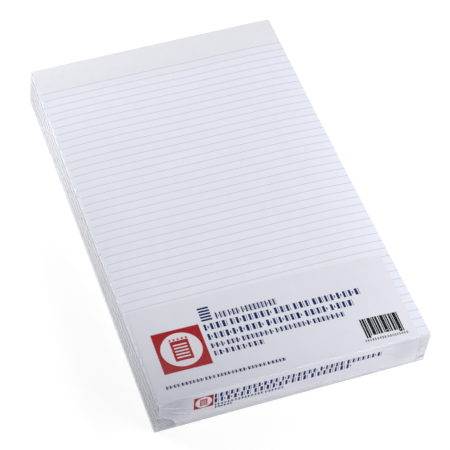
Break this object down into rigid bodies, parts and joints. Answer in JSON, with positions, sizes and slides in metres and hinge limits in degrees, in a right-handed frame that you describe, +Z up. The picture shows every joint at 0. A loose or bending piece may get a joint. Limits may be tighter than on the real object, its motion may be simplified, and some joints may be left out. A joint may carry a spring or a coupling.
{
  "type": "shrink-wrapped pack of legal pads",
  "caption": "Flat stack of white ruled legal pads with chipboard backs and gummed heads, a folded paper label over the foot end, sealed in tight clear film.",
  "frame": {"origin": "middle of the pack's flat underside", "axes": "+X across the page towards its right edge, +Y along the page towards the gummed head, +Z up out of the top page"},
  "size_m": [0.2172, 0.3576, 0.0356],
  "materials": {
    "writing_paper": "uncoated white bond, faint blue-grey ruling on the top page",
    "chipboard": "plain grey board",
    "padding_gum": "dried white padding compound",
    "label_paper": "smooth white label stock with plain red and navy fields",
    "clear_film": "clear glossy shrink film"
  },
  "bodies": {
    "root": {"pad_1_sheets": "writing_paper", "pad_1_board": "chipboard", "pad_1_gum": "padding_gum", "pad_2_sheets": "writing_paper", "pad_2_board": "chipboard", "pad_2_gum": "padding_gum", "pad_3_sheets": "writing_paper", "pad_3_board": "chipboard", "pad_3_gum": "padding_gum", "pad_4_sheets": "writing_paper", "pad_4_board": "chipboard", "pad_4_gum": "padding_gum", "pad_5_sheets": "writing_paper", "pad_5_board": "chipboard", "pad_5_gum": "padding_gum", "label_sheet": "label_paper", "shrink_film": "clear_film"}
  },
  "joints": []
}
